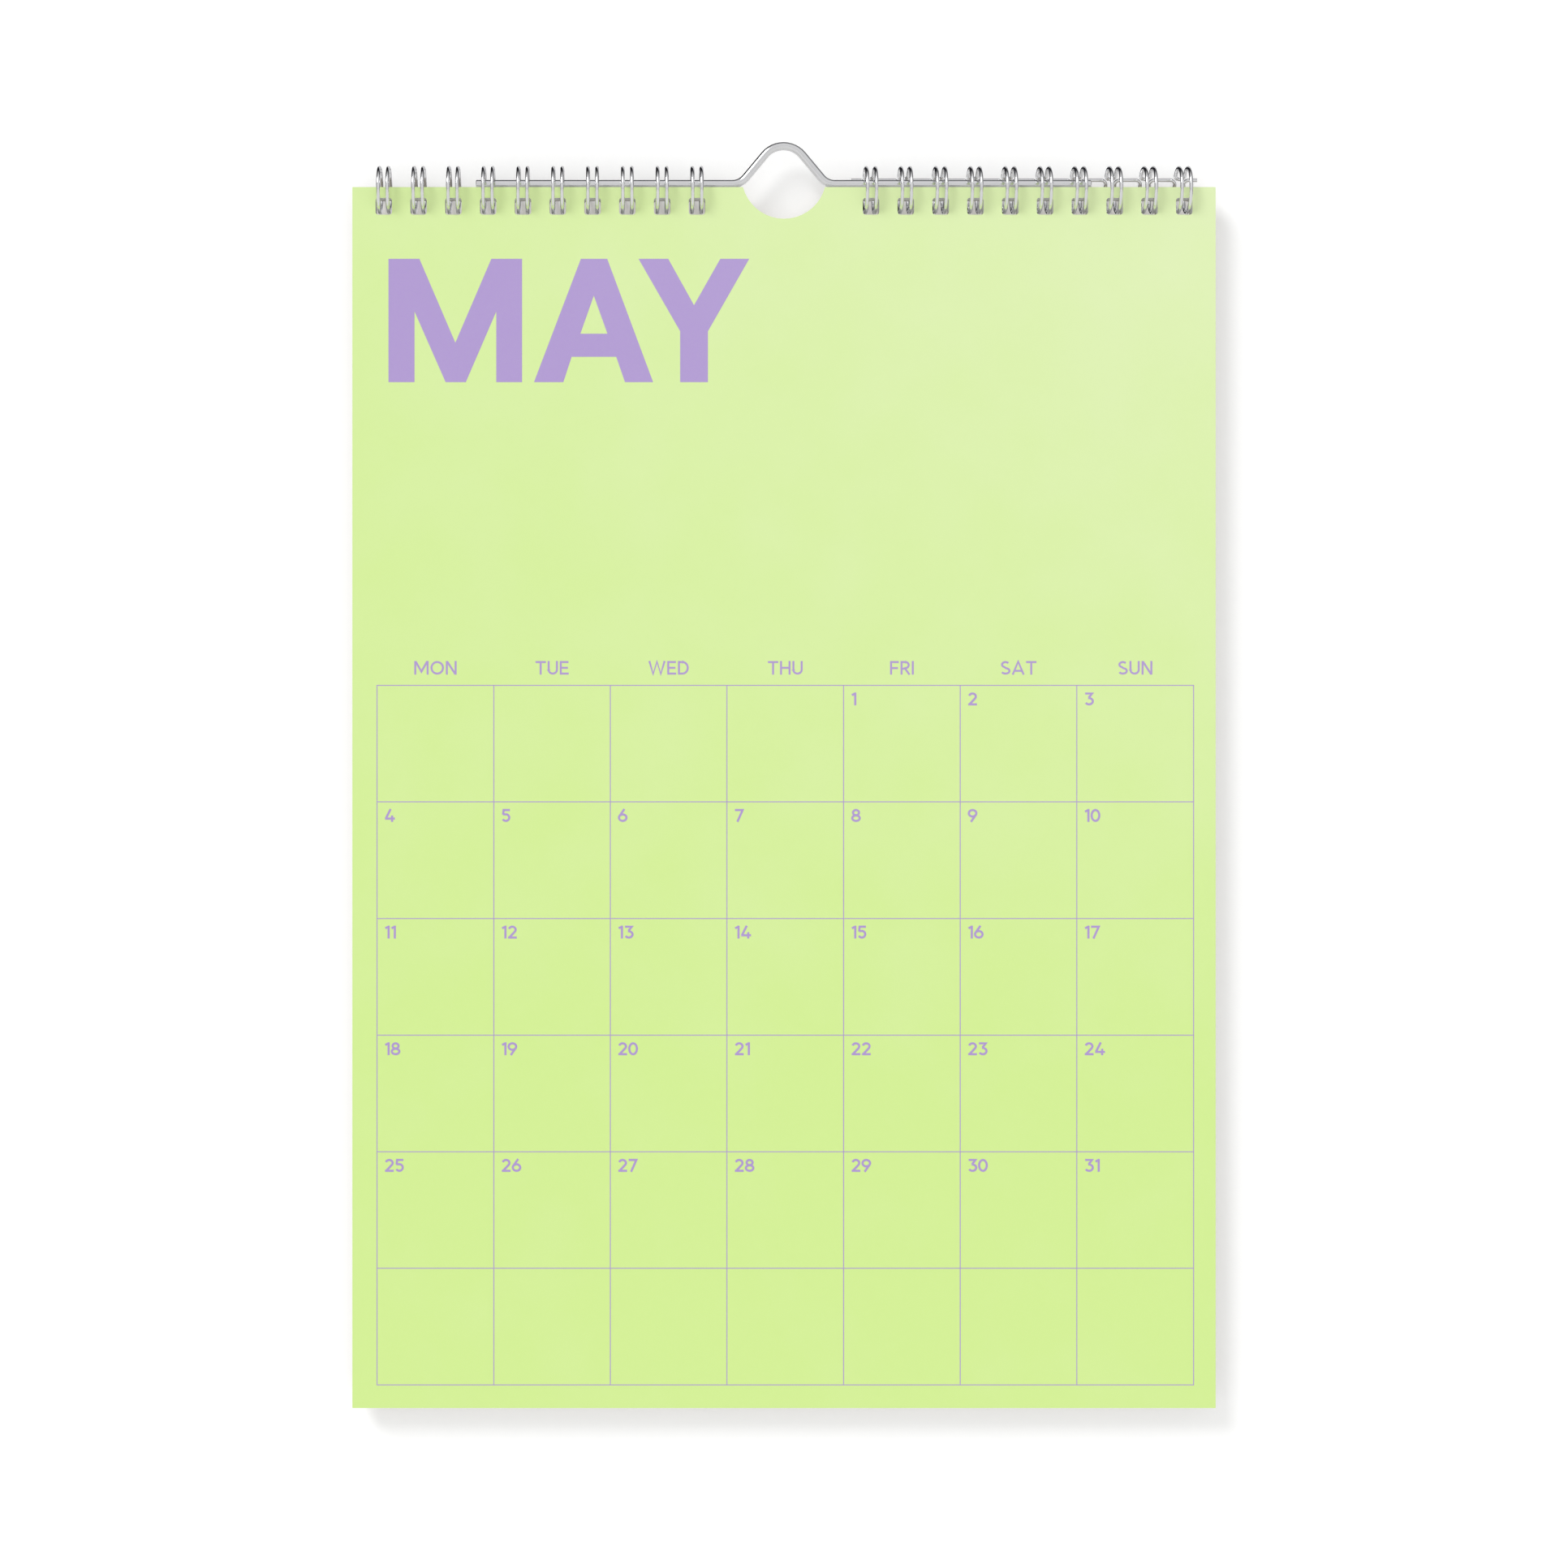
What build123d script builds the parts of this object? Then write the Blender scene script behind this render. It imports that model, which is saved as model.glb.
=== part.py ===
from build123d import *
import math
import os

# A4 month-to-a-page wall calendar, bound along its top edge with two
# double-loop wire combs and hung from a bent wire hanger.
#
# Frame: +Z up, the printed front faces -Y, X runs to the viewer's right.
# The origin is the hanging point, the underside of the hanger's arch.
# All lengths are millimetres.

# ---- sheets -------------------------------------------------------------
PAGE_W = 210.0          # A4 width
PAGE_H = 297.0          # A4 height
LEAF_T = 0.25           # one printed leaf of heavy uncoated card paper
BLOCK_LEAVES = 12       # the leaves that lie behind the front one
BOARD_T = 0.80          # grey backing board
AIR = 0.05              # air left between pieces that lie on each other

# ---- punched holes, 3:1 pitch with the four in the middle left out ------
PITCH = 25.4 / 3.0      # three loops to the inch
FIRST = 2.5             # the innermost hole of each side, in pitches
FINGERS = 10            # holes and wire fingers on each side
HOLE_W = 4.0
HOLE_H = 4.1
HOLE_R = 0.7            # corner radius of the square punch
HOLE_DROP = 2.62        # page edge to the top of a hole

# ---- thumb cut that clears the hanger's arch -----------------------------
NOTCH_R = 10.3          # radius of the round cut
NOTCH_UP = 2.6          # its centre lies this far above the page edge

# ---- double-loop wire comb -----------------------------------------------
WIRE_D = 0.9            # wire diameter
RING_R = 5.35           # radius of the wire's centreline in a closed ring
PAIR = 2.2              # the two wires of one finger, centre to centre
BASE_BEND = 1.2         # bend from a seam link into a finger
TIP_GAP = 14.0          # degrees of ring between the links and the tips' bends
STUB = 4.3              # last finger's middle to the cut end of the wire
SEAM_LEFT = 0.0         # degrees above level at the back, left comb
SEAM_RIGHT = 36.6       # the same for the right comb, which sits turned up
RING_ABOVE = -0.35      # ring centre relative to the page's top edge

# ---- hanger ----------------------------------------------------------------
HANGER_D = 2.0          # wire diameter
HANGER_HALF = 75.0      # middle to each cut end
ARCH_HALF = 12.5        # middle to where the rod starts to rise
ARCH_RISE = 9.25        # rod centreline to the arch's centreline
ARCH_TOP_R = 6.0        # centreline radius at the top
ARCH_FOOT_R = 4.25      # centreline radius where it leaves the rod
END_CHAMFER = 0.15      # cut ends are lightly broken
ROD_ABOVE = 1.15        # rod centreline above the page's top edge

# ---- levels that follow ----------------------------------------------------
ARCH_Z = HANGER_D / 2.0                 # arch centreline over the nail
ROD_Z = ARCH_Z - ARCH_RISE              # rod centreline
TOP_Z = ROD_Z - ROD_ABOVE               # page top edge
RING_Z = TOP_Z + RING_ABOVE             # centre of the rings
BLOCK_T = BLOCK_LEAVES * LEAF_T
STACK_T = LEAF_T + AIR + BLOCK_T + AIR + BOARD_T
FRONT_Y = -STACK_T / 2.0                # front face of the front leaf


def hole_xs():
    near = [(FIRST + i) * PITCH for i in range(FINGERS)]
    return [-x for x in reversed(near)] + near


def sheet(front_y, thickness):
    """A page-size sheet with its holes and thumb cut, its front at front_y."""
    face = Rectangle(PAGE_W, PAGE_H)
    face -= Pos(0, PAGE_H / 2.0 + NOTCH_UP) * Circle(NOTCH_R)
    hole_y = PAGE_H / 2.0 - HOLE_DROP - HOLE_H / 2.0
    punch = RectangleRounded(HOLE_W, HOLE_H, HOLE_R)
    face -= [Pos(x, hole_y) * punch for x in hole_xs()]
    # the sketch's own x and y become the part's x and z, and it grows to +Y
    lay = Plane(
        origin=(0, front_y + thickness, TOP_Z - PAGE_H / 2.0),
        x_dir=(1, 0, 0),
        z_dir=(0, -1, 0),
    )
    return extrude(lay * face, amount=thickness)


def straight_run(start, end, diameter):
    start, end = Vector(*start), Vector(*end)
    run = end - start
    return Solid.make_cylinder(
        diameter / 2.0, run.length, Plane(origin=start, z_dir=run.normalized())
    )


def round_run(start, heading, centre, angle, diameter):
    """A bend that leaves start along heading and turns round centre."""
    start, heading, centre = Vector(*start), Vector(*heading), Vector(*centre)
    arm = start - centre
    about = arm.cross(heading)
    section = Plane(origin=start, z_dir=heading) * Circle(diameter / 2.0)
    return revolve(section, Axis(centre, about), angle).solid()


def join(pieces):
    return pieces[0].fuse(*pieces[1:]).clean()


def on_ring(x, degrees, out=0.0):
    """A point of the ring's circle: 0 is level at the back, 90 is the top."""
    a = math.radians(degrees)
    r = RING_R + out
    return (x, r * math.cos(a), RING_Z + r * math.sin(a))


def down_the_back(degrees):
    """The way the wire runs there, from top over back to bottom."""
    a = math.radians(degrees)
    return (0.0, math.sin(a), -math.cos(a))


def moved(point, way, length):
    return tuple(p + w * length for p, w in zip(point, way))


def comb(xs, seam):
    """One closed comb: fingers round the sheets, links along the seam."""
    lean = math.degrees(math.atan2(BASE_BEND, RING_R))
    base = seam - lean                  # where a finger leaves its bend
    tip = seam + TIP_GAP                # where a finger's two wires turn in
    back = down_the_back(base)
    pieces = []
    half = PAIR / 2.0
    for i, x in enumerate(xs):
        for side in (-1.0, 1.0):
            wire_x = x + side * half
            foot = on_ring(wire_x, base)
            # from the foot round under the sheets, up the front, over the top
            pieces.append(
                round_run(
                    foot, back, (wire_x, 0, RING_Z), 360.0 - (tip - base), WIRE_D
                )
            )
            # the bend that joins the foot to the link beside it
            pivot = (wire_x + side * BASE_BEND, foot[1], foot[2])
            up = tuple(-b for b in back)
            pieces.append(round_run(foot, up, pivot, 90.0, WIRE_D))
        # the tip's half turn
        left_end = on_ring(x - half, tip)
        pieces.append(
            round_run(
                left_end,
                down_the_back(tip),
                (x, left_end[1], left_end[2]),
                180.0,
                WIRE_D,
            )
        )
    # straight links along the seam
    level = moved(on_ring(0, base), back, -BASE_BEND)
    reach = half + BASE_BEND
    for a, b in zip(xs[:-1], xs[1:]):
        pieces.append(
            straight_run(
                (a + reach, level[1], level[2]), (b - reach, level[1], level[2]), WIRE_D
            )
        )
    # the cut half links at the two ends
    pieces.append(
        straight_run(
            (xs[0] - STUB, level[1], level[2]),
            (xs[0] - reach, level[1], level[2]),
            WIRE_D,
        )
    )
    pieces.append(
        straight_run(
            (xs[-1] + reach, level[1], level[2]),
            (xs[-1] + STUB, level[1], level[2]),
            WIRE_D,
        )
    )
    return join(pieces)


def arch_angle():
    """The slope of the arch's sides that gives its half width and rise."""
    low, high = math.radians(20), math.radians(80)
    r = ARCH_TOP_R + ARCH_FOOT_R

    def rise(a):
        flat = (ARCH_HALF - r * math.sin(a)) / math.cos(a)
        return r * (1 - math.cos(a)) + flat * math.sin(a)

    for _ in range(60):
        mid = (low + high) / 2.0
        if rise(mid) < ARCH_RISE:
            low = mid
        else:
            high = mid
    a = (low + high) / 2.0
    return a, (ARCH_HALF - r * math.sin(a)) / math.cos(a)


def hanger():
    a, flat = arch_angle()
    turn = math.degrees(a)
    pieces = []
    for side in (-1.0, 1.0):
        foot = (side * ARCH_HALF, 0, ROD_Z)
        rod = straight_run((side * HANGER_HALF, 0, ROD_Z), foot, HANGER_D)
        cut = rod.edges().filter_by(GeomType.CIRCLE).sort_by(Axis.X)
        end = cut[0] if side < 0 else cut[-1]
        pieces.append(rod.chamfer(END_CHAMFER, None, [end]))
        inward = (-side, 0, 0)
        pieces.append(
            round_run(
                foot, inward, (foot[0], 0, ROD_Z + ARCH_FOOT_R), turn, HANGER_D
            )
        )
        rise_from = (
            foot[0] - side * ARCH_FOOT_R * math.sin(a),
            0,
            ROD_Z + ARCH_FOOT_R * (1 - math.cos(a)),
        )
        slope = (-side * math.cos(a), 0, math.sin(a))
        rise_to = moved(rise_from, slope, flat)
        pieces.append(straight_run(rise_from, rise_to, HANGER_D))
    top_start = (-ARCH_TOP_R * math.sin(a), 0, ARCH_Z - ARCH_TOP_R * (1 - math.cos(a)))
    pieces.append(
        round_run(
            top_start,
            (math.cos(a), 0, math.sin(a)),
            (0, 0, ARCH_Z - ARCH_TOP_R),
            2 * turn,
            HANGER_D,
        )
    )
    return join(pieces)


xs = hole_xs()
y = FRONT_Y
nodes = {}
nodes["leaf_may"] = sheet(y, LEAF_T)
y += LEAF_T + AIR
nodes["leaves_behind"] = sheet(y, BLOCK_T)
y += BLOCK_T + AIR
nodes["backing_board"] = sheet(y, BOARD_T)
nodes["binding_wire_left"] = comb(xs[:FINGERS], SEAM_LEFT)
nodes["binding_wire_right"] = comb(xs[FINGERS:], SEAM_RIGHT)
nodes["hanger_wire"] = hanger()

os.makedirs("parts", exist_ok=True)
for name, shape in nodes.items():
    solids = shape.solids()
    if len(solids) != 1:
        raise SystemExit(f"{name} has {len(solids)} solids")
    export_step(solids[0], f"parts/{name}.step")
    box = solids[0].bounding_box()
    print(
        name,
        "volume %.2f" % solids[0].volume,
        "from (%.3f, %.3f, %.3f)" % (box.min.X, box.min.Y, box.min.Z),
        "to (%.3f, %.3f, %.3f)" % (box.max.X, box.max.Y, box.max.Z),
    )
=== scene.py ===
import bpy, math
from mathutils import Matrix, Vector
from mathutils.geometry import delaunay_2d_cdt


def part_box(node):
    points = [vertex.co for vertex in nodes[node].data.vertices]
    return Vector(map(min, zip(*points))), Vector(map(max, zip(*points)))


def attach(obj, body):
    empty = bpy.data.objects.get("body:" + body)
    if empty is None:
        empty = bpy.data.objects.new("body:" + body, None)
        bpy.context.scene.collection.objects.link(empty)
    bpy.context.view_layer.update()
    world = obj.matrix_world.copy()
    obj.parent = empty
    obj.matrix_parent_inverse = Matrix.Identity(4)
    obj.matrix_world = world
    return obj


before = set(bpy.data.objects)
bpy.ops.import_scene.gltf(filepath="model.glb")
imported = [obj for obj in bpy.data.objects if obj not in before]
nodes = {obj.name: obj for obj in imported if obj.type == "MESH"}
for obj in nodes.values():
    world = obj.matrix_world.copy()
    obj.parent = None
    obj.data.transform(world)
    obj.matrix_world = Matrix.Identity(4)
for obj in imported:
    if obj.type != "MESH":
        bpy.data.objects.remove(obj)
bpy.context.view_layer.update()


def lin(c):
    out = []
    for v in c:
        v /= 255.0
        out.append(v / 12.92 if v <= 0.04045 else ((v + 0.055) / 1.055) ** 2.4)
    return (*out, 1.0)


# ---------------------------------------------------------------- camera
cam_data = bpy.data.cameras.new("camera")
cam = bpy.data.objects.new("camera", cam_data)
bpy.context.scene.collection.objects.link(cam)
leaf_lo, leaf_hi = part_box("leaf_may")
FRONT = leaf_lo.y
TOP = leaf_hi.z
VIEW_W = 0.3814
DIST = 0.726
OFF = -0.038
cam.location = (OFF, FRONT - DIST, TOP - 0.1452)
cam.rotation_euler = (math.radians(90), 0, 0)
cam_data.sensor_width = 36.0
cam_data.lens = 36.0 * DIST / VIEW_W
cam_data.shift_x = -OFF / VIEW_W
cam_data.clip_start = 0.01
cam_data.dof.use_dof = False
bpy.context.scene.camera = cam


# ------------------------------------------------------------- materials
def material(name):
    m = bpy.data.materials.new(name)
    m.use_nodes = True
    nt = m.node_tree
    b = nt.nodes["Principled BSDF"]
    return m, nt, b


def node(nt, kind, **props):
    n = nt.nodes.new(kind)
    for k, v in props.items():
        setattr(n, k, v)
    return n


def math_node(nt, op, a, b=None, clamp=False):
    n = node(nt, "ShaderNodeMath", operation=op, use_clamp=clamp)
    for i, v in enumerate((a, b)):
        if v is None:
            continue
        if isinstance(v, (int, float)):
            n.inputs[i].default_value = v
        else:
            nt.links.new(v, n.inputs[i])
    return n.outputs[0]


def mix_colour(nt, fac, a, b):
    n = node(nt, "ShaderNodeMix", data_type="RGBA")
    for socket, v in ((n.inputs[0], fac), (n.inputs[6], a), (n.inputs[7], b)):
        if isinstance(v, (int, float)):
            socket.default_value = v
        elif isinstance(v, tuple):
            socket.default_value = v
        else:
            nt.links.new(v, socket)
    return n.outputs[2]


def ramp(nt, value, low, high):
    n = node(nt, "ShaderNodeMapRange")
    n.inputs[1].default_value, n.inputs[2].default_value = low, high
    nt.links.new(value, n.inputs[0])
    return n.outputs[0]


def place(nt):
    co = node(nt, "ShaderNodeTexCoord")
    xyz = node(nt, "ShaderNodeSeparateXYZ")
    nt.links.new(co.outputs["Object"], xyz.inputs[0])
    nrm = node(nt, "ShaderNodeSeparateXYZ")
    nt.links.new(co.outputs["Normal"], nrm.inputs[0])
    return co, xyz, nrm


def noise(nt, co, scale, detail=2.0, rough=0.5):
    n = node(nt, "ShaderNodeTexNoise")
    n.inputs["Scale"].default_value = scale
    n.inputs["Detail"].default_value = detail
    n.inputs["Roughness"].default_value = rough
    nt.links.new(co.outputs["Object"], n.inputs["Vector"])
    return n.outputs["Fac"]


def paper_bump(nt, b, co, strength=0.12):
    fibre = noise(nt, co, 2600.0, 3.0, 0.6)
    bump = node(nt, "ShaderNodeBump")
    bump.inputs["Strength"].default_value = strength
    bump.inputs["Distance"].default_value = 0.00004
    nt.links.new(fibre, bump.inputs["Height"])
    nt.links.new(bump.outputs[0], b.inputs["Normal"])
    return fibre


# the paler lime and lilac are painted highlight: the paper and ink as lit towards the upper right. They are also the
# pale end of the real mottle
LIME = lin((214, 243, 149))
LIME_GLARE_AND_MOTTLE = lin((230, 246, 192))
INK = lin((177, 151, 214))
INK_GLARE_AND_MOTTLE = lin((185, 162, 219))
WHITE = lin((243, 243, 240))


def spread(nt, co, xyz):
    """Painted highlight: 0 at the lower left to 1 at the upper right of the page, paler where soft light falls on the
    upper right, with a faint real mottle added.
    """
    x = ramp(nt, xyz.outputs[0], -0.105, 0.105)
    z = ramp(nt, xyz.outputs[2], TOP - 0.22, TOP)
    s = math_node(nt, "MULTIPLY", z, math_node(nt, "ADD", math_node(nt, "MULTIPLY", x, 0.55), 0.35))
    mott = noise(nt, co, 45.0, 3.0)
    s = math_node(nt, "ADD", s, math_node(nt, "MULTIPLY", math_node(nt, "SUBTRACT", mott, 0.5), 0.35), True)
    return s


def lime_paper(name, layers=0):
    m, nt, b = material(name)
    co, xyz, nrm = place(nt)
    # painted highlight: the printed face turns paler towards the upper right where light falls, with a faint real
    # mottle
    face = mix_colour(nt, spread(nt, co, xyz), LIME, LIME_GLARE_AND_MOTTLE)
    fibre = paper_bump(nt, b, co)
    face = mix_colour(nt, math_node(nt, "MULTIPLY", fibre, 0.05), face, WHITE)
    core = WHITE
    if layers:
        lo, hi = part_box("leaves_behind")
        step = (hi.y - lo.y) / layers
        # painted shade: dark grey lines between the twelve leaves on the block's edges stand in for the shade in the
        # gaps between sheets, and the white between them is the paper's own edge
        along = math_node(nt, "DIVIDE", math_node(nt, "SUBTRACT", xyz.outputs[1], lo.y), step)
        saw = math_node(nt, "FRACT", along)
        gap = math_node(nt, "LESS_THAN", math_node(nt, "ABSOLUTE", math_node(nt, "SUBTRACT", saw, 0.5)), 0.40)
        core = mix_colour(nt, gap, lin((150, 156, 138)), WHITE)
    front = math_node(nt, "LESS_THAN", nrm.outputs[1], -0.5)
    colour = mix_colour(nt, front, core, face)
    nt.links.new(colour, b.inputs["Base Color"])
    b.inputs["Roughness"].default_value = 0.62
    b.inputs["Specular IOR Level"].default_value = 0.25
    return m


def ink(name):
    m, nt, b = material(name)
    co, xyz, nrm = place(nt)
    fibre = paper_bump(nt, b, co, 0.10)
    # painted highlight on the ink: paler towards the upper right where light falls, with a faint real mottle
    face = mix_colour(nt, spread(nt, co, xyz), INK, INK_GLARE_AND_MOTTLE)
    face = mix_colour(nt, math_node(nt, "MULTIPLY", fibre, 0.06), face, LIME)
    nt.links.new(face, b.inputs["Base Color"])
    b.inputs["Roughness"].default_value = 0.55
    b.inputs["Specular IOR Level"].default_value = 0.25
    return m


def greyboard(name):
    m, nt, b = material(name)
    co, xyz, nrm = place(nt)
    fleck = noise(nt, co, 900.0, 4.0, 0.7)
    cloud = noise(nt, co, 60.0, 3.0)
    c = mix_colour(nt, fleck, lin((150, 143, 132)), lin((196, 190, 178)))
    c = mix_colour(nt, math_node(nt, "MULTIPLY", cloud, 0.4), c, lin((176, 170, 160)))
    nt.links.new(c, b.inputs["Base Color"])
    b.inputs["Roughness"].default_value = 0.85
    b.inputs["Specular IOR Level"].default_value = 0.2
    bump = node(nt, "ShaderNodeBump")
    bump.inputs["Strength"].default_value = 0.25
    bump.inputs["Distance"].default_value = 0.00008
    nt.links.new(fleck, bump.inputs["Height"])
    nt.links.new(bump.outputs[0], b.inputs["Normal"])
    return m


def wire(name, tint, scale):
    m, nt, b = material(name)
    co, xyz, nrm = place(nt)
    n = noise(nt, co, scale, 3.0)
    c = mix_colour(nt, n, lin(tint), lin(tuple(min(255, t + 14) for t in tint)))
    nt.links.new(c, b.inputs["Base Color"])
    rough = ramp(nt, n, 0.0, 1.0)
    rough = math_node(nt, "ADD", math_node(nt, "MULTIPLY", rough, 0.08), 0.10)
    nt.links.new(rough, b.inputs["Roughness"])
    b.inputs["Metallic"].default_value = 1.0
    bump = node(nt, "ShaderNodeBump")
    bump.inputs["Strength"].default_value = 0.06
    bump.inputs["Distance"].default_value = 0.00003
    nt.links.new(noise(nt, co, 1800.0, 2.0), bump.inputs["Height"])
    nt.links.new(bump.outputs[0], b.inputs["Normal"])
    return m


def dress(name, mat):
    o = nodes[name]
    if not o.material_slots:
        o.data.materials.append(mat)
    for s in o.material_slots:
        s.material = mat


dress("leaf_may", lime_paper("lime_leaf"))
dress("leaves_behind", lime_paper("lime_leaf_stack", 12))
dress("backing_board", greyboard("greyboard"))
dress("binding_wire_left", wire("binding_silver", (222, 222, 224), 260.0))
dress("binding_wire_right", wire("binding_silver_right", (222, 222, 224), 260.0))
dress("hanger_wire", wire("hanger_silver", (216, 216, 218), 200.0))
ink_mat = ink("lilac_ink")

# ------------------------------------------------------------------ print
MM = 0.001


def arc(cx, cy, rx, ry, a0, a1, n=14):
    return [
        (cx + rx * math.cos(math.radians(a0 + (a1 - a0) * i / n)),
         cy + ry * math.sin(math.radians(a0 + (a1 - a0) * i / n)))
        for i in range(n + 1)
    ]


# strokes of each glyph's centreline, in cap heights; the second value is its width
T = 0.155
h = T / 2
GLYPH = {
    "0": ([arc(0.375, 0.5, 0.375 - h, 0.5 - h, 0, 360, 28)], 0.75),
    "1": ([[(0.31, 0.0), (0.31, 1.0)], [(0.36, 0.985 - h / 2), (0.05, 0.80)]], 0.40),
    "2": ([arc(0.36, 0.69, 0.30 - h / 2, 0.31 - h, 165, -38, 16) + [(0.13, h)], [(0.03, h), (0.71, h)]], 0.72),
    "3": ([[(0.06, 1 - h), (0.60, 1 - h), (0.33, 0.60)], [(0.30, 0.585)] + arc(0.36, 0.32, 0.33 - h / 2, 0.32 - h, 75, -150, 16)], 0.72),
    "4": ([[(0.47, 1.0), (0.10, 0.27)], [(0.03, 0.255), (0.80, 0.255)], [(0.58, 0.50), (0.58, 0.0)]], 0.80),
    "5": ([[(0.66, 1 - h), (0.17, 1 - h), (0.13, 0.56)], [(0.12, 0.585)] + arc(0.34, 0.335, 0.345 - h, 0.335 - h, 100, -150, 16)], 0.72),
    "6": ([arc(0.37, 0.33, 0.37 - h, 0.33 - h, 0, 360, 24), [(0.095, 0.42), (0.50, 1.0)]], 0.74),
    "7": ([[(0.03, 1 - h), (0.63, 1 - h), (0.22, 0.0)]], 0.70),
    "8": ([arc(0.37, 0.72, 0.31 - h, 0.28 - h, 0, 360, 22), arc(0.37, 0.29, 0.37 - h, 0.29 - h, 0, 360, 24)], 0.74),
    "9": ([arc(0.37, 0.67, 0.37 - h, 0.33 - h, 0, 360, 24), [(0.645, 0.58), (0.24, 0.0)]], 0.74),
    "M": ([[(h, 0.0), (h, 1.0)], [(0.10, 0.98), (0.53, 0.22), (0.96, 0.98)], [(1.06 - h, 1.0), (1.06 - h, 0.0)]], 1.06),
    "O": ([arc(0.5, 0.5, 0.5 - h, 0.5 - h, 0, 360, 30)], 1.0),
    "N": ([[(h, 0.0), (h, 1.0)], [(0.10, 0.97), (0.70, 0.03)], [(0.80 - h, 0.0), (0.80 - h, 1.0)]], 0.80),
    "T": ([[(0.0, 1 - h), (0.76, 1 - h)], [(0.38, 0.0), (0.38, 1 - h)]], 0.76),
    "U": ([[(h, 1.0), (h, 0.36)] + arc(0.38, 0.36, 0.38 - h, 0.36 - h, 180, 360, 14) + [(0.76 - h, 1.0)]], 0.76),
    "E": ([[(h, 0.0), (h, 1.0)], [(h, 1 - h), (0.64, 1 - h)], [(h, 0.5), (0.60, 0.5)], [(h, h), (0.66, h)]], 0.66),
    "W": ([[(0.06, 1.0), (0.34, 0.04), (0.62, 0.96), (0.90, 0.04), (1.18, 1.0)]], 1.24),
    "D": ([[(h, 0.0), (h, 1.0)], [(h, 1 - h), (0.34, 1 - h)] + arc(0.34, 0.5, 0.46 - h, 0.5 - h, 90, -90, 16) + [(h, h)]], 0.80),
    "H": ([[(h, 0.0), (h, 1.0)], [(0.78 - h, 0.0), (0.78 - h, 1.0)], [(h, 0.5), (0.78 - h, 0.5)]], 0.78),
    "F": ([[(h, 0.0), (h, 1.0)], [(h, 1 - h), (0.64, 1 - h)], [(h, 0.48), (0.58, 0.48)]], 0.64),
    "R": ([[(h, 0.0), (h, 1.0)], [(h, 1 - h), (0.36, 1 - h)] + arc(0.36, 0.70, 0.32 - h, 0.30 - h, 90, -90, 14) + [(h, 0.40 + h - T / 2)], [(0.36, 0.42), (0.66, 0.0)]], 0.70),
    "I": ([[(h, 0.0), (h, 1.0)]], T),
    "S": ([arc(0.355, 0.735, 0.29 - h / 2, 0.265 - h, 35, 250, 14) + arc(0.355, 0.275, 0.33 - h / 2, 0.275 - h, 80, -150, 16)], 0.71),
    "A": ([[(0.05, 0.0), (0.45, 1.0 - h / 2), (0.85, 0.0)], [(0.17, 0.28), (0.73, 0.28)]], 0.90),
}


def ribbon(points, width):
    """Quads along a polyline, mitred where they meet."""
    pts = [Vector(p) for p in points]
    closed = (pts[0] - pts[-1]).length < 1e-9
    if closed:
        pts = pts[:-1]
    n = len(pts)
    left, right = [], []
    for i, p in enumerate(pts):
        prev = pts[i - 1] if (i or closed) else None
        nxt = pts[(i + 1) % n] if (i < n - 1 or closed) else None
        d0 = (p - prev).normalized() if prev is not None else None
        d1 = (nxt - p).normalized() if nxt is not None else None
        d0 = d0 if d0 is not None else d1
        d1 = d1 if d1 is not None else d0
        n0, n1 = Vector((-d0.y, d0.x)), Vector((-d1.y, d1.x))
        mid = n0 + n1
        if mid.length < 0.5:
            mid, k = n0, 1.0
        else:
            mid.normalize()
            k = min(1.0 / max(mid.dot(n0), 0.35), 2.0)
        left.append(p + mid * k * width / 2)
        right.append(p - mid * k * width / 2)
    quads = []
    for i in range(n if closed else n - 1):
        j = (i + 1) % n
        quads.append([left[i], right[i], right[j], left[j]])
    return quads


def word_width(text, size, gap):
    return sum(GLYPH[c][1] for c in text) * size + gap * (len(text) - 1)


def word(text, x, z, size, gap, out, weight=T):
    """Writes text with its lower left corner at x, z; sizes in millimetres."""
    for c in text:
        strokes, w = GLYPH[c]
        for s in strokes:
            out += ribbon([(x + px * size, z + pz * size) for px, pz in s], weight * size)
        x += w * size + gap
    return x


def px(points):
    """Plan points of a 1932-unit square layout to page millimetres."""
    return [Vector(((a - 966.35) / 5.0655, -(b - 230.5) / 5.0655)) for a, b in points]


GRID_X = [(v - 966.35) / 5.0655 for v in (464.91, 608.84, 752.4, 896.05, 1039.84, 1183.49, 1327.14, 1471.0)]
GRID_Z = [-(v - 230.5) / 5.0655 for v in (844.45, 988.0, 1131.74, 1275.45, 1419.12, 1562.62, 1706.39)]


def month_page(big, first_column, days):
    polys = list(big)
    w = 0.11
    for x in GRID_X:
        polys.append([Vector((x - w, GRID_Z[0] + w)), Vector((x - w, GRID_Z[-1] - w)), Vector((x + w, GRID_Z[-1] - w)), Vector((x + w, GRID_Z[0] + w))])
    for z in GRID_Z:
        polys.append([Vector((GRID_X[0] - w, z + w)), Vector((GRID_X[0] - w, z - w)), Vector((GRID_X[-1] + w, z - w)), Vector((GRID_X[-1] + w, z + w))])
    cap = 3.32
    for i, name in enumerate(("MON", "TUE", "WED", "THU", "FRI", "SAT", "SUN")):
        mid = (GRID_X[i] + GRID_X[i + 1]) / 2
        width = word_width(name, cap, 0.42)
        word(name, mid - width / 2, -118.6, cap, 0.42, polys, 0.145)
    for day in range(1, days + 1):
        cell = first_column + day - 1
        row, col = divmod(cell, 7)
        word(str(day), GRID_X[col] + 1.85, GRID_Z[row] - 1.75 - 3.12, 3.12, 0.26, polys, 0.17)
    return polys


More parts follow.
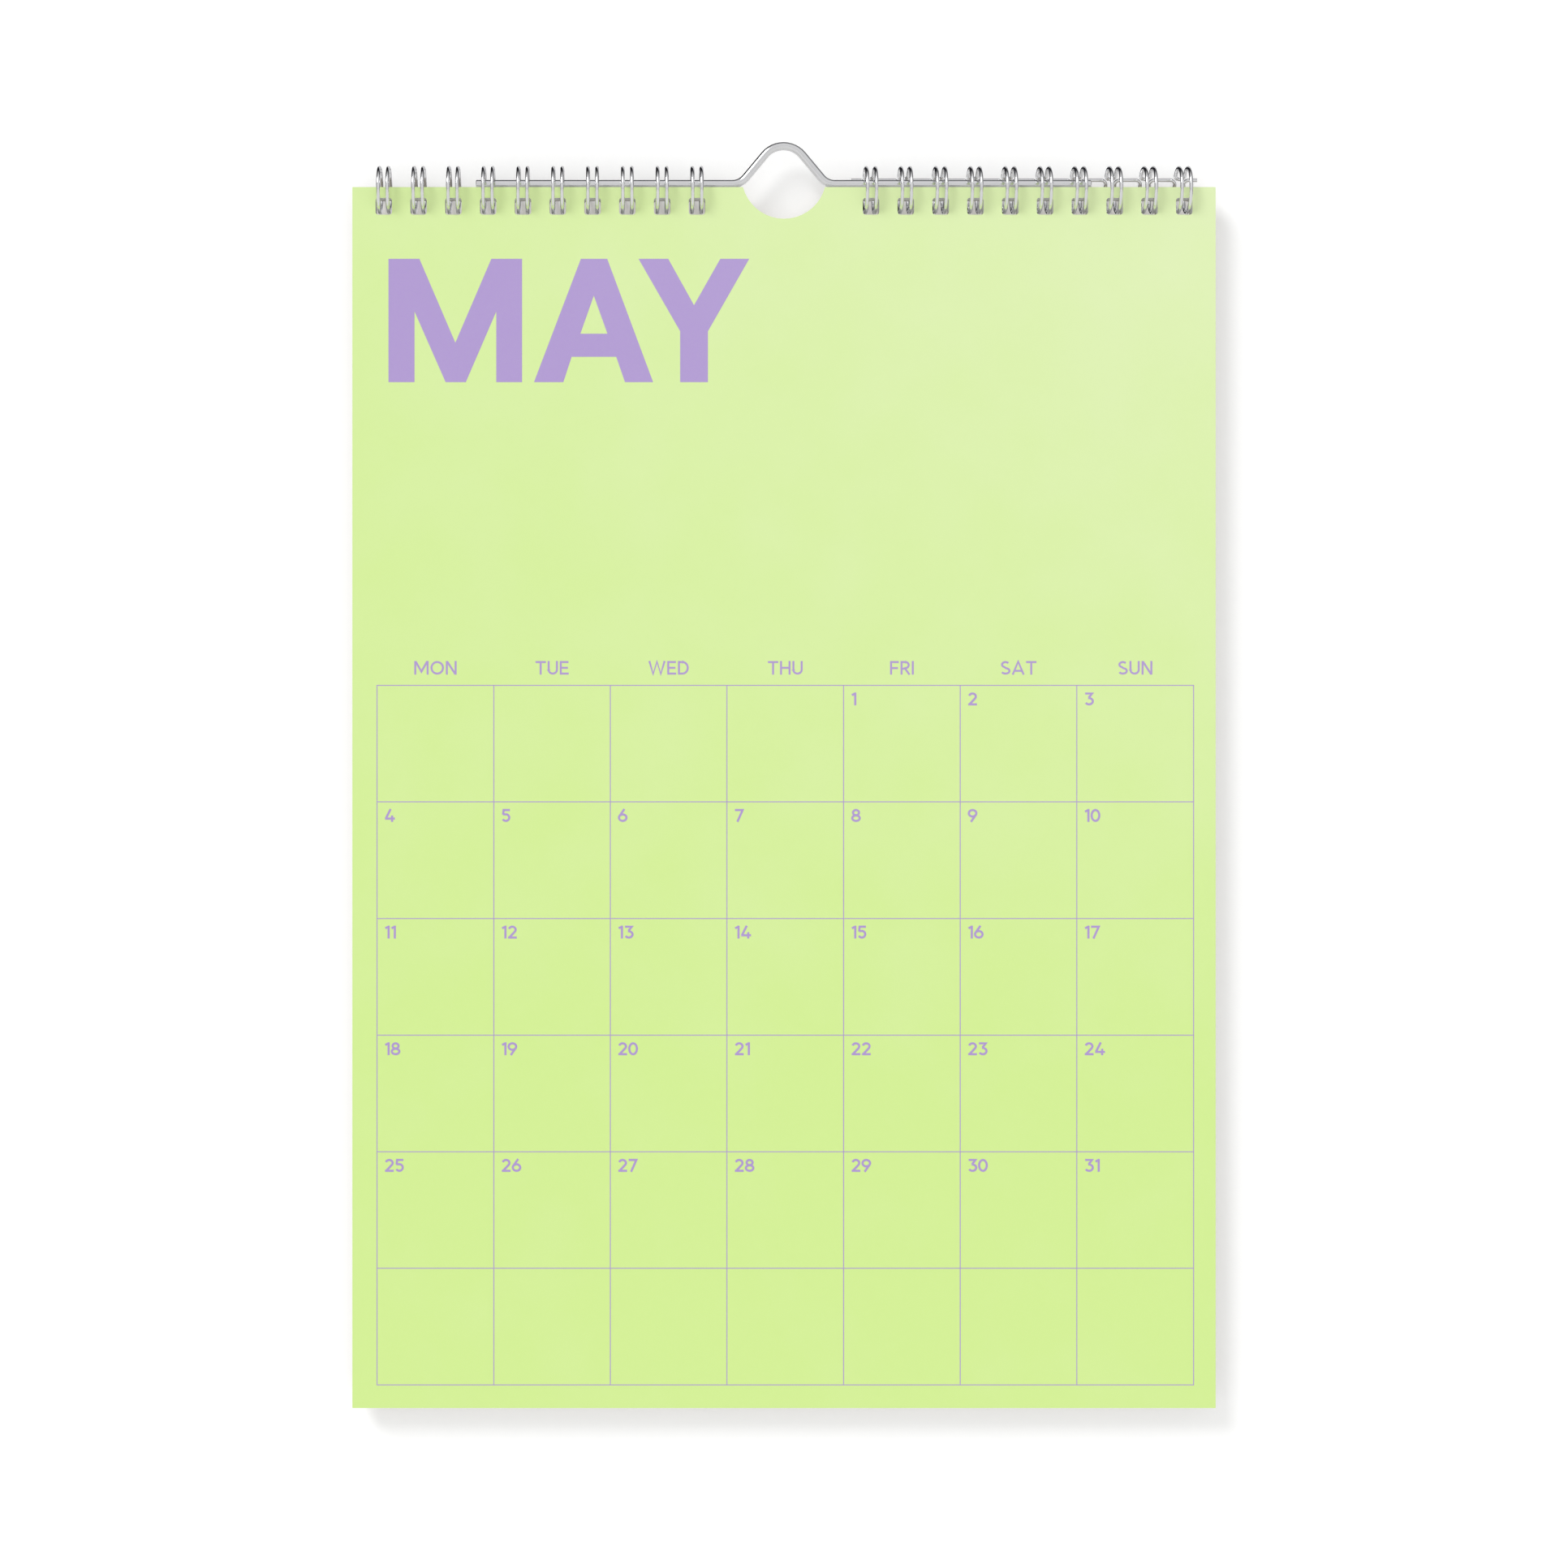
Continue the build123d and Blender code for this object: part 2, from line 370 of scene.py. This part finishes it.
def slab(name, polys, front, body):
    verts, faces = [], []
    for p in polys:
        base = len(verts)
        verts += [Vector((v[0], v[1])) for v in p]
        area = sum(p[i][0] * p[(i + 1) % len(p)][1] - p[(i + 1) % len(p)][0] * p[i][1] for i in range(len(p)))
        loop = list(range(base, base + len(p)))
        faces.append(loop if area > 0 else loop[::-1])
    out_v, _, out_f, _, _, _ = delaunay_2d_cdt(verts, [], faces, 0, 1e-6)
    cells = {}
    for k, p in enumerate(polys):
        xs, zs = [v[0] for v in p], [v[1] for v in p]
        for i in range(int(min(xs) // 4), int(max(xs) // 4) + 1):
            for j in range(int(min(zs) // 4), int(max(zs) // 4) + 1):
                cells.setdefault((i, j), []).append(k)

    def inked(x, z):
        for k in cells.get((int(x // 4), int(z // 4)), ()):
            p, inside = polys[k], False
            for i in range(len(p)):
                ax, az, bx, bz = p[i - 1][0], p[i - 1][1], p[i][0], p[i][1]
                if (az > z) != (bz > z) and x < (bx - ax) * (z - az) / (bz - az) + ax:
                    inside = not inside
            if inside:
                return True
        return False

    tris = [f for f in out_f if inked(sum(out_v[i][0] for i in f) / len(f), sum(out_v[i][1] for i in f) / len(f))]
    used = sorted({i for f in tris for i in f})
    at = {v: i for i, v in enumerate(used)}
    proud, sunk = front - 0.012 * MM, front + 0.004 * MM
    co = [(out_v[i][0] * MM, proud, TOP + out_v[i][1] * MM) for i in used]
    co += [(c[0], sunk, c[2]) for c in co]
    n = len(used)
    mesh_faces, edges = [], {}
    for f in tris:
        f = [at[i] for i in f]
        a, b, c = (co[i] for i in f[:3])
        turn = (b[0] - a[0]) * (c[2] - a[2]) - (b[2] - a[2]) * (c[0] - a[0])
        if turn < 0:
            f = f[::-1]
        mesh_faces.append(f)
        mesh_faces.append([i + n for i in reversed(f)])
        for i in range(len(f)):
            e = (f[i], f[(i + 1) % len(f)])
            edges[e] = True
    for a, b in list(edges):
        if (b, a) not in edges:
            mesh_faces.append([b, a, a + n, b + n])
    me = bpy.data.meshes.new(name)
    me.from_pydata(co, [], mesh_faces)
    me.update()
    o = bpy.data.objects.new(name, me)
    bpy.context.scene.collection.objects.link(o)
    me.materials.append(ink_mat)
    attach(o, body)
    return o


MAY = [
    px([(479, 318.9), (517.1, 318.9), (561.4, 422.3), (605.8, 318.9), (643.6, 318.9), (643.6, 470.9), (611.8, 470.9), (611.8, 383.9), (574.3, 470.9), (549.4, 470.9), (511.1, 383.9), (511.1, 470.9), (479, 470.9)]),
    px([(716.1, 318.9), (732.3, 318.9), (732.0, 364.4), (715.5, 411.2), (704.7, 439.7), (694.5, 470.9), (658.3, 470.9)]),
    px([(732.3, 318.9), (748.5, 318.9), (805.1, 470.9), (770.4, 470.9), (759.6, 439.7), (748.8, 411.2), (732.0, 364.4)]),
    px([(715.5, 411.2), (748.8, 411.2), (759.6, 439.7), (704.7, 439.7)]),
    px([(787.1, 318.9), (823.7, 318.9), (855.5, 376.1), (887.9, 318.9), (923.5, 318.9), (872.6, 408.2), (872.6, 470.9), (838.4, 470.9), (838.4, 408.2)]),
]
slab("may_print", month_page(MAY, 4, 31), FRONT, "front_leaf")

# the next month, on the leaf behind: the same layout in strokes of the same weight
BIG, HEAVY = 30.0, 0.212
june = []
jx, jz = (479 - 966.35) / 5.0655, -(470.9 - 230.5) / 5.0655
june += ribbon([(jx + 14.5, jz + BIG), (jx + 14.5, jz + 9.6)] + [(jx + 8.2 + 6.3 * math.cos(math.radians(a)), jz + 9.4 + 6.2 * math.sin(math.radians(a))) for a in range(0, -200, -20)], HEAVY * BIG)
ux = jx + 25.5
june += ribbon([(ux, jz + BIG), (ux, jz + 11.5)] + [(ux + 8.3 + 8.3 * math.cos(math.radians(a)), jz + 11.3 + 8.3 * math.sin(math.radians(a))) for a in range(190, 351, 16)] + [(ux + 16.6, jz + 11.5), (ux + 16.6, jz + BIG)], HEAVY * BIG)
nx = ux + 27.5
june += ribbon([(nx, jz), (nx, jz + BIG)], HEAVY * BIG)
june += ribbon([(nx + 0.6, jz + BIG - 1.5), (nx + 16.4, jz + 1.5)], HEAVY * BIG)
june += ribbon([(nx + 17.0, jz), (nx + 17.0, jz + BIG)], HEAVY * BIG)
ex = nx + 27.5
june += ribbon([(ex, jz), (ex, jz + BIG)], HEAVY * BIG)
for level in (3.18, 15.0, BIG - 3.18):
    june += ribbon([(ex, jz + level), (ex + 14.5, jz + level)], HEAVY * BIG)
block_lo, block_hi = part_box("leaves_behind")
slab("june_print", month_page(june, 0, 30), block_lo.y, "binding")

# ------------------------------------------------------------------ stage
def plane(name, corners, mat):
    me = bpy.data.meshes.new(name)
    me.from_pydata(corners, [], [(0, 1, 2, 3)])
    o = bpy.data.objects.new(name, me)
    bpy.context.scene.collection.objects.link(o)
    me.materials.append(mat)
    return o


wall_mat, nt, b = material("wall")
b.inputs["Base Color"].default_value = (1.0, 1.0, 1.0, 1.0)
b.inputs["Roughness"].default_value = 1.0
b.inputs["Specular IOR Level"].default_value = 0.0
b.inputs["Emission Color"].default_value = (1.0, 1.0, 1.0, 1.0)
b.inputs["Emission Strength"].default_value = 0.13
out = nt.nodes["Material Output"]
geo = node(nt, "ShaderNodeNewGeometry")
clear = node(nt, "ShaderNodeBsdfTransparent")
mix = node(nt, "ShaderNodeMixShader")
nt.links.new(geo.outputs["Backfacing"], mix.inputs[0])
nt.links.new(b.outputs[0], mix.inputs[1])
nt.links.new(clear.outputs[0], mix.inputs[2])
nt.links.new(mix.outputs[0], out.inputs["Surface"])
WY = 0.0066
wall = plane("wall", [(-4, WY, -0.62), (4, WY, -0.62), (4, WY, 3), (-4, WY, 3)], wall_mat)
wall.visible_shadow = False
wall.visible_diffuse = False
wall.visible_glossy = False

floor_mat, nt, b = material("floor")
b.inputs["Base Color"].default_value = (0.86, 0.86, 0.85, 1.0)
b.inputs["Roughness"].default_value = 0.8
floor = plane("floor", [(-6, -6, -0.62), (6, -6, -0.62), (6, 6, -0.62), (-6, 6, -0.62)], floor_mat)

# ----------------------------------------------------------------- lights
world = bpy.data.worlds.new("world")
bpy.context.scene.world = world
world.use_nodes = True
nt = world.node_tree
bg = nt.nodes["Background"]
co = node(nt, "ShaderNodeTexCoord")
xyz = node(nt, "ShaderNodeSeparateXYZ")
nt.links.new(co.outputs["Generated"], xyz.inputs[0])
path = node(nt, "ShaderNodeLightPath")
behind = ramp(nt, xyz.outputs[1], -0.45, 0.15)
glossy = mix_colour(nt, behind, (1.0, 1.0, 1.0, 1.0), (0.02, 0.02, 0.025, 1.0))
low = ramp(nt, xyz.outputs[2], 0.1, -0.5)
glossy = mix_colour(nt, math_node(nt, "MULTIPLY", low, 0.75), glossy, (0.12, 0.12, 0.12, 1.0))
flat = mix_colour(nt, path.outputs["Is Glossy Ray"], (0.80, 0.80, 0.80, 1.0), glossy)
nt.links.new(flat, bg.inputs["Color"])
bg.inputs["Strength"].default_value = 0.83

sun_data = bpy.data.lights.new("key", "SUN")
sun_data.energy = 1.2
sun_data.angle = math.radians(24)
sun = bpy.data.objects.new("key", sun_data)
bpy.context.scene.collection.objects.link(sun)
sun.rotation_euler = Vector((0.50, 0.62, -0.62)).to_track_quat("-Z", "Y").to_euler()

back_data = bpy.data.lights.new("back_fill", "SUN")
back_data.energy = 0.5
back_data.angle = math.radians(60)
back = bpy.data.objects.new("back_fill", back_data)
bpy.context.scene.collection.objects.link(back)
back.rotation_euler = Vector((-0.3, -0.8, -0.5)).to_track_quat("-Z", "Y").to_euler()

bpy.context.scene.view_settings.view_transform = "Standard"
